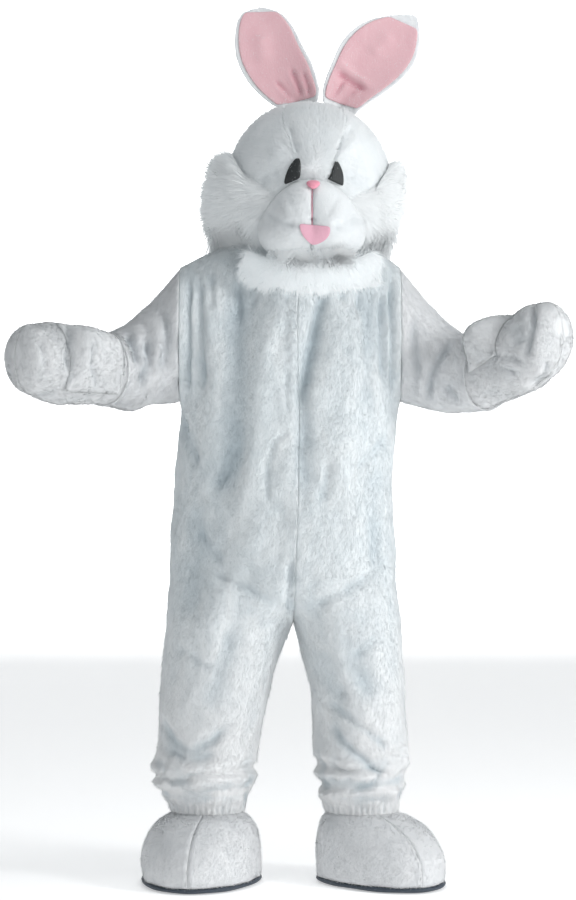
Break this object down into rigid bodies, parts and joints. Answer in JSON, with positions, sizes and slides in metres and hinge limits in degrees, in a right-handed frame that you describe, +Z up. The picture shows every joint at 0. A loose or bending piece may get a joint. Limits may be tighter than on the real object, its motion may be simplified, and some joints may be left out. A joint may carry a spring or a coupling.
{
  "type": "rabbit mascot costume",
  "caption": "Plush rabbit costume: a hollow one-piece suit with sleeves, mitts, soled feet, and a round head with upright ears and long cheek fur.",
  "frame": {"origin": "between the wearer's shoulders, on the mid-line of the front and back seams, where the suit hangs", "axes": "+Z up, -Y the way the costume faces, +X to the wearer's left"},
  "size_m": [1.2922, 0.4887, 2.0475],
  "materials": {
    "plush": "short white plush pile",
    "long_fur": "long white fur",
    "ear_lining": "smooth pink short pile",
    "nose_satin": "pink satin",
    "mouth_felt": "pink felt",
    "eye_mesh": "black see-through mesh",
    "sole": "dark slate sole"
  },
  "bodies": {
    "root": {"cheek_ruff_left": "long_fur", "cheek_ruff_right": "long_fur", "chin_ruff": "long_fur", "ear_left_back": "plush", "ear_left_lining": "ear_lining", "ear_right_back": "plush", "ear_right_lining": "ear_lining", "eye_left": "eye_mesh", "eye_right": "eye_mesh", "foot_left_inner": "plush", "foot_left_outer": "plush", "foot_left_sole": "sole", "foot_right_inner": "plush", "foot_right_outer": "plush", "foot_right_sole": "sole", "head_back": "plush", "head_forehead": "plush", "head_side_left": "plush", "head_side_right": "plush", "mitt_left_back": "plush", "mitt_left_palm": "plush", "mitt_left_thumb": "plush", "mitt_right_back": "plush", "mitt_right_palm": "plush", "mitt_right_thumb": "plush", "mouth": "mouth_felt", "muzzle_left": "plush", "muzzle_right": "plush", "nose": "nose_satin", "sleeve_left": "plush", "sleeve_right": "plush", "suit_back_left": "plush", "suit_back_right": "plush", "suit_front_left": "plush", "suit_front_right": "plush"}
  },
  "joints": []
}
